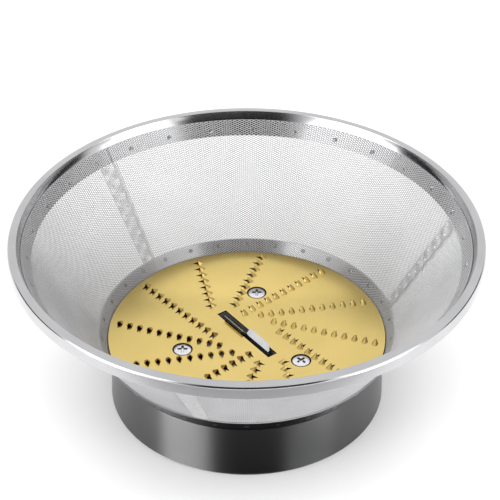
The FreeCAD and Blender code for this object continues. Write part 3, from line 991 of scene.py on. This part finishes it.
@dataclass
class DiscScrews:
    """Three like screws with a low head and a cross recess."""

    circle: ScrewCircle
    turns: tuple[float, ...] = (0.0, 0.0, 45.0)
    head_radius: float = 3.6 * MM
    head_edge: float = 1.0 * MM
    head_height: float = 1.45 * MM
    seat: float = 27.0 * MM
    tip: float = 15.0 * MM
    shank_radius: float = 2.0 * MM
    cells: int = 24
    arm_cells: int = 4
    arm_reach: int = 15
    recess: float = 0.7 * MM
    recess_slope: float = 0.18 * MM

    def head(self, bm: BMesh) -> None:
        """Adds one head with its recess and shank, standing on height 0.

        Args:
            bm: The screw's mesh.
        """
        bmesh.ops.create_grid(bm, x_segments=self.cells, y_segments=self.cells, size=1.0)
        step = 2.0 / self.cells
        middle = []
        for face in bm.faces:
            across = sorted(abs(value) for value in face.calc_center_median().xy)
            if across[0] < self.arm_cells * step / 2 and across[1] < self.arm_reach * step / 2:
                middle.append(face)
        for vert in bm.verts:
            x, y = vert.co.x, vert.co.y
            vert.co.x = x * math.sqrt(1.0 - y * y / 2.0)
            vert.co.y = y * math.sqrt(1.0 - x * x / 2.0)
            vert.co *= self.head_radius
            drop = (vert.co.xy.length / self.head_radius) ** 4
            vert.co.z = self.head_height - drop * (self.head_height - self.head_edge)
        walls = bmesh.ops.inset_region(bm, faces=middle, thickness=self.recess_slope, use_even_offset=True)
        bmesh.ops.translate(bm, verts=list({vert for face in middle for vert in face.verts}),
                            vec=(0.0, 0.0, -self.recess))
        # Painted shade on the walls of the cross recess.
        paint(walls["faces"], 1)
        self.shank(bm)

    def shank(self, bm: BMesh) -> None:
        """Draws the head's rim down to its seat and on to the shank.

        Args:
            bm: The screw's mesh.
        """
        rim = [edge for edge in bm.edges if edge.is_boundary]
        for radius, height in ((self.head_radius, 0.0), (self.shank_radius, 0.0),
                               (self.shank_radius, self.tip - self.seat)):
            made = bmesh.ops.extrude_edge_only(bm, edges=rim)["geom"]
            rim = only(made, BMEdge)
            for vert in {vert for edge in rim for vert in edge.verts}:
                vert.co = (vert.co.xy.normalized() * radius).to_3d()
                vert.co.z = height
        bmesh.ops.holes_fill(bm, edges=rim)

    def build(self, steel: Material, shade: Material) -> None:
        """Makes the screws in their wells.

        Args:
            steel: Finish of the screws.
            shade: Painted shade, a near-black colour on the walls of the recess.
        """
        bm = bmesh.new()
        for spot, turn in zip(self.circle.spots(), self.turns):
            screw = bmesh.new()
            self.head(screw)
            bmesh.ops.recalc_face_normals(screw, faces=screw.faces[:])
            lift = Vector((0.0, 0.0, self.seat))
            place = Matrix.Translation(spot + lift) @ Matrix.Rotation(math.radians(turn), 4, "Z")
            bmesh.ops.transform(screw, matrix=place, verts=screw.verts[:])
            pour(screw, bm)
        make_piece(bm, "disc_screws_cross", [steel, shade], ["disc_screws"], 30.0)


@dataclass
class GratingDisc:
    """Gold-coloured disc with rows of punched thorns, a slot and three wells for the screws."""

    circle: ScrewCircle
    radius: float = 58.7 * MM
    level: float = 28.2 * MM
    sheet: float = 0.8 * MM
    steps: int = 256
    slot_length: float = 36.6 * MM
    slot_width: float = 4.6 * MM
    slot_azimuth: float = -53.6
    rows: int = 12
    row_azimuth: float = -18.8
    row_offset: float = 11.3 * MM
    row_start: float = 8.4 * MM
    row_margin: float = 3.5 * MM
    pitch: float = 4.5 * MM
    clearance: float = 3.8 * MM
    half_width: float = 1.35 * MM
    height: float = 2.0 * MM
    heel: float = 2.4 * MM
    lean: float = 0.4 * MM
    shell: float = 0.3 * MM
    cut: float = 2.88 * MM
    well_radius: float = 4.3 * MM
    well_floor: float = 27.0 * MM
    cup_foot: float = 26.2 * MM
    cup_radius: float = 5.1 * MM
    hole_radius: float = 2.2 * MM
    well_steps: int = 48
    cup_lap: float = 0.76 * MM
    hole_share: float = 0.72
    arch_power: float = 1.5
    rise_power: float = 1.25

    def tooth_places(self) -> list[Matrix]:
        """Place of each tooth on the disc, facing +X.

        Returns:
            One matrix for each tooth.
        """
        to_slot = Matrix.Rotation(-math.radians(self.slot_azimuth), 3, "Z")
        edge = self.radius - self.row_margin
        places = []
        for row in range(self.rows):
            turn = Matrix.Rotation(math.radians(self.row_azimuth + row * 360.0 / self.rows - 90.0), 4, "Z")
            along = self.row_start
            while math.hypot(along, self.row_offset) <= edge:
                spot = turn @ Vector((self.row_offset, -along, 0.0))
                back = to_slot @ (spot - turn @ Vector((self.heel, 0.0, 0.0)))
                beyond = Vector((max(abs(back.x) - self.slot_length / 2, 0.0),
                                 max(abs(back.y) - self.slot_width / 2, 0.0), 0.0))
                reach = self.well_radius + self.half_width
                clear = all((spot - screw).length > reach for screw in self.circle.spots())
                if clear and beyond.length > self.clearance:
                    places.append(Matrix.Translation(spot + Vector((0.0, 0.0, self.level))) @ turn)
                along += self.pitch
        return places

    def plate(self) -> BMesh:
        """Makes the flat plate with the slot, the wells' holes and the teeth's holes.

        Returns:
            The plate.
        """
        bm = bmesh.new()
        lift = Matrix.Translation((0.0, 0.0, self.level))
        bmesh.ops.create_circle(bm, segments=self.steps, radius=self.radius, matrix=lift)
        for screw in self.circle.spots():
            bmesh.ops.create_circle(bm, segments=self.well_steps, radius=self.well_radius,
                                    matrix=lift @ Matrix.Translation(screw))
        slot = lift @ Matrix.Rotation(math.radians(self.slot_azimuth), 4, "Z")
        half, wide = self.slot_length / 2, self.slot_width / 2
        closed_loop(bm, [slot @ Vector(corner) for corner in
                         ((-half, -wide, 0.0), (half, -wide, 0.0), (half, wide, 0.0), (-half, wide, 0.0))])
        deep, wide = self.hole_share * self.heel, self.hole_share * self.half_width
        outline = [Vector((-deep * math.cos(turn), wide * math.sin(turn), 0.0))
                   for turn in (math.pi / 2 * (step / 3 - 1) for step in range(7))]
        outline.append(Vector((self.cut, 0.0, 0.0)))
        for place in self.tooth_places():
            closed_loop(bm, [place @ point for point in outline])
        bmesh.ops.triangle_fill(bm, use_beauty=True, edges=bm.edges[:], normal=SPIN_AXIS)
        bmesh.ops.recalc_face_normals(bm, faces=bm.faces[:])
        if bm.faces[:][0].normal.z < 0.0:
            bmesh.ops.reverse_faces(bm, faces=bm.faces[:])
        made = bmesh.ops.extrude_face_region(bm, geom=bm.faces[:], use_keep_orig=True)["geom"]
        bmesh.ops.translate(bm, verts=only(made, BMVert), vec=(0.0, 0.0, -self.sheet))
        bmesh.ops.recalc_face_normals(bm, faces=bm.faces[:])
        # Painted shade: the upright walls of the slot, the holes and the disc's edge get the near-black
        # colour.
        paint([face for face in bm.faces if abs(face.normal.z) < 0.5], 1)
        return bm

    def hood(self) -> BMesh:
        """Makes one raised thorn at the origin, open towards +X.

        Returns:
            The thorn.
        """
        bm = bmesh.new()
        bmesh.ops.create_grid(bm, x_segments=4, y_segments=6, size=1.0)
        for vert in bm.verts:
            forward, side = (vert.co.x + 1.0) / 2, vert.co.y
            arch = 1.0 - abs(side) ** self.arch_power
            rise = self.height * forward ** self.rise_power * arch
            wide = self.half_width * math.sqrt(1.0 - (1.0 - forward) ** 2)
            vert.co = (self.heel * (forward - 1.0) + self.lean * rise / self.height, wide * side, rise)
        bmesh.ops.remove_doubles(bm, verts=bm.verts[:], dist=0.01 * MM)
        bmesh.ops.recalc_face_normals(bm, faces=bm.faces[:])
        if sum(face.normal.z for face in bm.faces) < 0.0:
            bmesh.ops.reverse_faces(bm, faces=bm.faces[:])
        bmesh.ops.solidify(bm, geom=bm.faces[:], thickness=self.shell)
        return bm

    def build(self, gold: Material, shade: Material,
              tooth_gold_painted_shade: Material) -> Object:
        """Makes the plate, its wells and its teeth.

        Args:
            gold: Finish of the disc.
            shade: Painted shade, a near-black colour on the plate's upright edges and the wells' cups.
            tooth_gold_painted_shade: The teeth's gold, a darker copy of the disc's gold as painted shade.

        Returns:
            The disc.
        """
        bm = self.plate()
        for screw in self.circle.spots():
            top = self.level - self.cup_lap
            cup = ring([(self.well_radius, top), (self.well_radius, self.well_floor),
                        (self.hole_radius, self.well_floor), (self.hole_radius, self.cup_foot),
                        (self.cup_radius, self.cup_foot), (self.cup_radius, top)], self.well_steps)
            bmesh.ops.translate(cup, verts=cup.verts[:], vec=screw)
            # The cups under the wells are painted shade too.
            paint(cup.faces, 1)
            pour(cup, bm)
        for place in self.tooth_places():
            tooth = self.hood()
            bmesh.ops.transform(tooth, matrix=place, verts=tooth.verts[:])
            # The teeth get the darker gold, painted shade.
            paint(tooth.faces, 2)
            pour(tooth, bm)
        return make_piece(bm, "grating_disc_punched", [gold, shade, tooth_gold_painted_shade],
                          ["grating_disc"], 40.0, weighted=False)


@dataclass(frozen=True)
class Softbox:
    """A lamp with a soft rectangular face.

    Attributes:
        name: Name of the lamp.
        place: Where it stands.
        aim: Where it points.
        size: Its width and height.
        power: Its power in watts.
    """

    name: str
    place: Spot
    aim: Spot
    size: Point
    power: float

    def build(self) -> Object:
        """Makes the lamp."""
        lamp = bpy.data.lights.new(self.name, "AREA")
        lamp.shape = "RECTANGLE"
        lamp.size, lamp.size_y = self.size
        lamp.energy = self.power
        box = add_object(self.name, lamp)
        box.matrix_world = aimed(self.place, self.aim)
        box.visible_camera = False
        return box


def aimed(place: Spot, aim: Spot) -> Matrix:
    """Matrix of a thing at a place whose -Z axis points to a target.

    Args:
        place: Where it stands.
        aim: Where it points.

    Returns:
        The matrix.
    """
    way = Vector(aim) - Vector(place)
    return Matrix.Translation(place) @ way.to_track_quat("-Z", "Y").to_matrix().to_4x4()


@dataclass
class Studio:
    """Pale floor, soft lamps, dark cards that polished metal mirrors, and the camera."""

    floor_size: float = 30.0
    sky: float = 1.0
    lens: float = 151.2
    elevation: float = 36.06
    distance: float = 865.145 * MM
    look_side: float = 1.3755 * MM
    look_height: float = 72.02 * MM
    strip_reach: float = 0.5
    strip_height: float = -0.3
    strip_size: Point = (0.34, 0.3)

    def build_floor(self, pale: Material) -> None:
        """Lays the floor.

        Args:
            pale: Finish of the floor.
        """
        bm = bmesh.new()
        bmesh.ops.create_grid(bm, x_segments=8, y_segments=8, size=self.floor_size / 2)
        add_object("studio_floor", make_mesh(bm, "studio_floor", [pale]))

    def build_card(self, name: str, place: Spot, aim: Spot,
                   size: Point, finish: Material) -> None:
        """Hangs a card that only mirror-like surfaces see.

        Args:
            name: Name of the card.
            place: Where it hangs.
            aim: Where it faces.
            size: Its width and height.
            finish: Its finish.
        """
        bm = bmesh.new()
        bmesh.ops.create_grid(bm, x_segments=1, y_segments=1, size=0.5)
        card = add_object(name, make_mesh(bm, name, [finish]))
        card.matrix_world = aimed(place, aim) @ Matrix.Diagonal((size[0], size[1], 1.0, 1.0))
        card.visible_camera = False
        card.visible_diffuse = False
        card.visible_shadow = False

    def build_sky(self) -> None:
        """Sets an even white surround."""
        world = bpy.data.worlds.new("studio_sky")
        world.use_nodes = True
        back = world.node_tree.nodes["Background"]
        back.inputs["Color"].default_value = (1.0, 1.0, 1.0, 1.0)
        back.inputs["Strength"].default_value = self.sky
        bpy.context.scene.world = world

    def build_lamps(self, mesh: list[Object], disc: Object) -> None:
        """Places the softboxes, and the lamps that only the mesh, the disc or the base sees.

        Args:
            mesh: The parts of the mesh panels.
            disc: The grating disc.
        """
        middle, low = (0.0, 0.0, 60.0 * MM), (0.0, 0.0, 40.0 * MM)
        Softbox("key_softbox", (-0.82, -0.52, 0.5), middle, (0.9, 0.6), 3.0).build()
        Softbox("fill_softbox", (0.82, -0.51, 0.5), middle, (0.75, 0.6), 1.5).build()
        top = Softbox("top_softbox", (0.0, 0.1, 1.2), middle, (1.5, 1.5), 6.5).build()
        top.visible_glossy = False
        Softbox("front_softbox", (0.2, -1.0, 0.22), low, (0.9, 0.3), 1.7).build()
        Softbox("left_low_softbox", (-0.85, -0.55, 0.16), low, (0.4, 0.25), 2.3).build()
        Softbox("right_low_softbox", (0.85, -0.58, 0.16), low, (0.4, 0.25), 2.6).build()
        panels = self.receivers("mesh_only", mesh)
        for wall in (Softbox("back_wall_softbox", (-0.46, 0.7, 0.5), middle, (0.5, 0.4), 6.5),
                     Softbox("right_wall_softbox", (0.62, 0.45, 0.5), middle, (0.5, 0.5), 1.0),
                     Softbox("outside_softbox", (0.3, -0.7, 0.07), (0.0, -0.06, 0.04), (0.8, 0.12), 8.5)):
            wall.build().light_linking.receiver_collection = panels
        glow = Softbox("disc_softbox", (-0.004, 0.0625, 0.042), (-0.004, 0.03, 0.028),
                       (0.112, 0.024), 0.0047).build()
        glow.light_linking.receiver_collection = self.receivers("disc_only", [disc])
        base = self.receivers("base_only", [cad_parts["base_moulding"]])
        for name, azimuth, power in (("left_strip", 220.0, 1.25), ("right_strip", 322.0, 0.37)):
            way = math.radians(azimuth)
            place = (self.strip_reach * math.cos(way), self.strip_reach * math.sin(way), self.strip_height)
            strip = Softbox(name, place, (0.0, 0.0, 12.0 * MM), self.strip_size, power).build()
            strip.visible_diffuse = False
            strip.data.cycles.use_multiple_importance_sampling = False
            strip.light_linking.receiver_collection = base
            strip.light_linking.blocker_collection = base

    @staticmethod
    def receivers(name: str, pieces: list[Object]) -> Collection:
        """Gathers the pieces that a lamp is meant for.

        Args:
            name: Name of the collection.
            pieces: The pieces.

        Returns:
            The collection.
        """
        group = bpy.data.collections.new(name)
        for piece in pieces:
            group.objects.link(piece)
        return group

    def build_cards(self, black: Material, grey: Material) -> None:
        """Hangs the cards that draw dark bands in the polished rim.

        Args:
            black: Finish of the cards round the room.
            grey: Finish of the card on the floor.
        """
        rim = (0.0, 0.0, 78.0 * MM)
        self.build_card("camera_card", (0.08, -0.74, 0.45), (0.08, 0.0, 0.3), (1.15, 0.95), black)
        self.build_card("right_card", (0.708, 0.2, 0.11), rim, (0.6, 0.3), black)
        self.build_card("left_card", (-0.7345, 0.12, 0.14), rim, (0.6, 0.3), black)
        self.build_card("floor_card", (0.0, -0.3, 0.002), (0.0, -0.3, -1.0), (0.5, 0.4), grey)
        self.build_card("foot_card", (0.0, -0.078, 0.001), (0.0, -0.078, -1.0), (0.13, 0.075), black)

    def build_camera(self) -> None:
        """Sets the camera at the photo's place."""
        rise = math.radians(self.elevation)
        camera = bpy.data.cameras.new("photo_camera")
        camera.lens = self.lens
        eye = add_object("photo_camera", camera)
        eye.location = (self.look_side, -self.distance * math.cos(rise),
                        self.look_height + self.distance * math.sin(rise))
        eye.rotation_euler = (math.pi / 2 - rise, 0.0, 0.0)
        bpy.context.scene.camera = eye


def dress_node(node: str, material: Material) -> None:
    """Gives a CAD node that stays in view its finish.

    Args:
        node: Name of the node.
        material: Its finish.
    """
    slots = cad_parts[node].data.materials
    slots.clear()
    slots.append(material)
    LOG.info("%s: dressed", node)


def main() -> None:
    """Builds the basket and the studio."""
    logging.basicConfig(level=logging.INFO, format="%(name)s %(message)s")
    bpy.context.scene.view_settings.view_transform = "Standard"
    finishes = Finishes()
    wall = Cone()
    RimRing(wall).build(finishes.rim_steel)
    mesh = [piece for number in (1, 2, 3) for piece in MeshPanel(wall, number).build(finishes)]
    BaseCollar(wall).build(finishes.rim_steel, finishes.weld_steel)
    CentreBlade().build(finishes.blade_steel, finishes.painted_shade_edge)
    circle = ScrewCircle()
    DiscScrews(circle).build(finishes.screw_steel, finishes.shade)
    disc = GratingDisc(circle).build(finishes.gold, finishes.shade, finishes.tooth_gold_painted_shade)
    dress_node("base_moulding", finishes.plastic)
    studio = Studio()
    studio.build_floor(finishes.floor)
    studio.build_sky()
    studio.build_lamps(mesh, disc)
    studio.build_cards(CardFinish("black_card", 0.01).build(), CardFinish("grey_card", 0.4).build())
    studio.build_camera()


if __name__ == "__main__":
    main()
